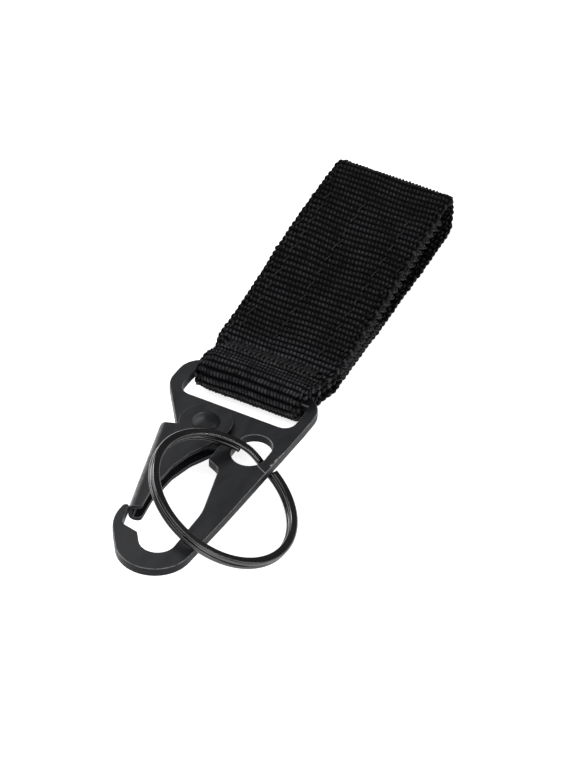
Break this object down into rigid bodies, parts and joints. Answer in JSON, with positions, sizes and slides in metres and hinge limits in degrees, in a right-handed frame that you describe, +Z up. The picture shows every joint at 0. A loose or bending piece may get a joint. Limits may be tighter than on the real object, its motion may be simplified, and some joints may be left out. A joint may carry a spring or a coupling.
{
  "type": "belt key clip",
  "caption": "Folded webbing belt loop with a sewn eye that carries a flat snap hook with a sprung gate, and a split ring for keys linked through a hole in the hook's plate",
  "frame": {"origin": "middle of the strap's underside, on the ground", "axes": "+Y runs along the strap towards the belt loop's far fold, the hook points to -Y, +Z is up off the strap"},
  "size_m": [0.0387, 0.113, 0.0171],
  "materials": {
    "webbing": "black ribbed polyester webbing",
    "hook_tape": "black hook tape",
    "loop_tape": "black loop tape",
    "thread": "black sewing thread",
    "black_plate": "satin black coated steel, worn bright near the ring's hole",
    "black_gate": "satin black coated sheet steel",
    "black_rivet": "satin black coated steel",
    "spring_steel": "bare spring steel",
    "ring_wire": "glossy black plated steel wire"
  },
  "bodies": {
    "strap": {"webbing_strap": "webbing", "hook_tape": "hook_tape", "loop_tape": "loop_tape", "tape_seams": "thread", "bar_tack": "thread"},
    "hook": {"hook_frame": "black_plate", "gate_rivet": "black_rivet", "gate_spring": "spring_steel"},
    "gate": {"gate": "black_gate"},
    "ring": {"split_ring": "ring_wire"}
  },
  "joints": [
    {"name": "hook_swing", "type": "hinge", "parent": "strap", "child": "hook", "pos_m": [0, -0.02935, 0.00362], "axis": [-1, 0, 0], "range_deg": [-130, 130]},
    {"name": "gate_pivot", "type": "hinge", "parent": "hook", "child": "gate", "pos_m": [-0.0024, -0.04455, 0.00532], "axis": [0, 0.1115, 0.9938], "range_deg": [0, 23], "stiffness_Nm_per_rad": 0.03, "springref_deg": -11.46, "deforming": ["gate_spring"]},
    {"name": "ring_swing", "type": "hinge", "parent": "hook", "child": "ring", "pos_m": [0.01284, -0.06019, 0.00708], "axis": [-0.2622, 0.959, -0.1076], "range_deg": [0, 100]}
  ]
}
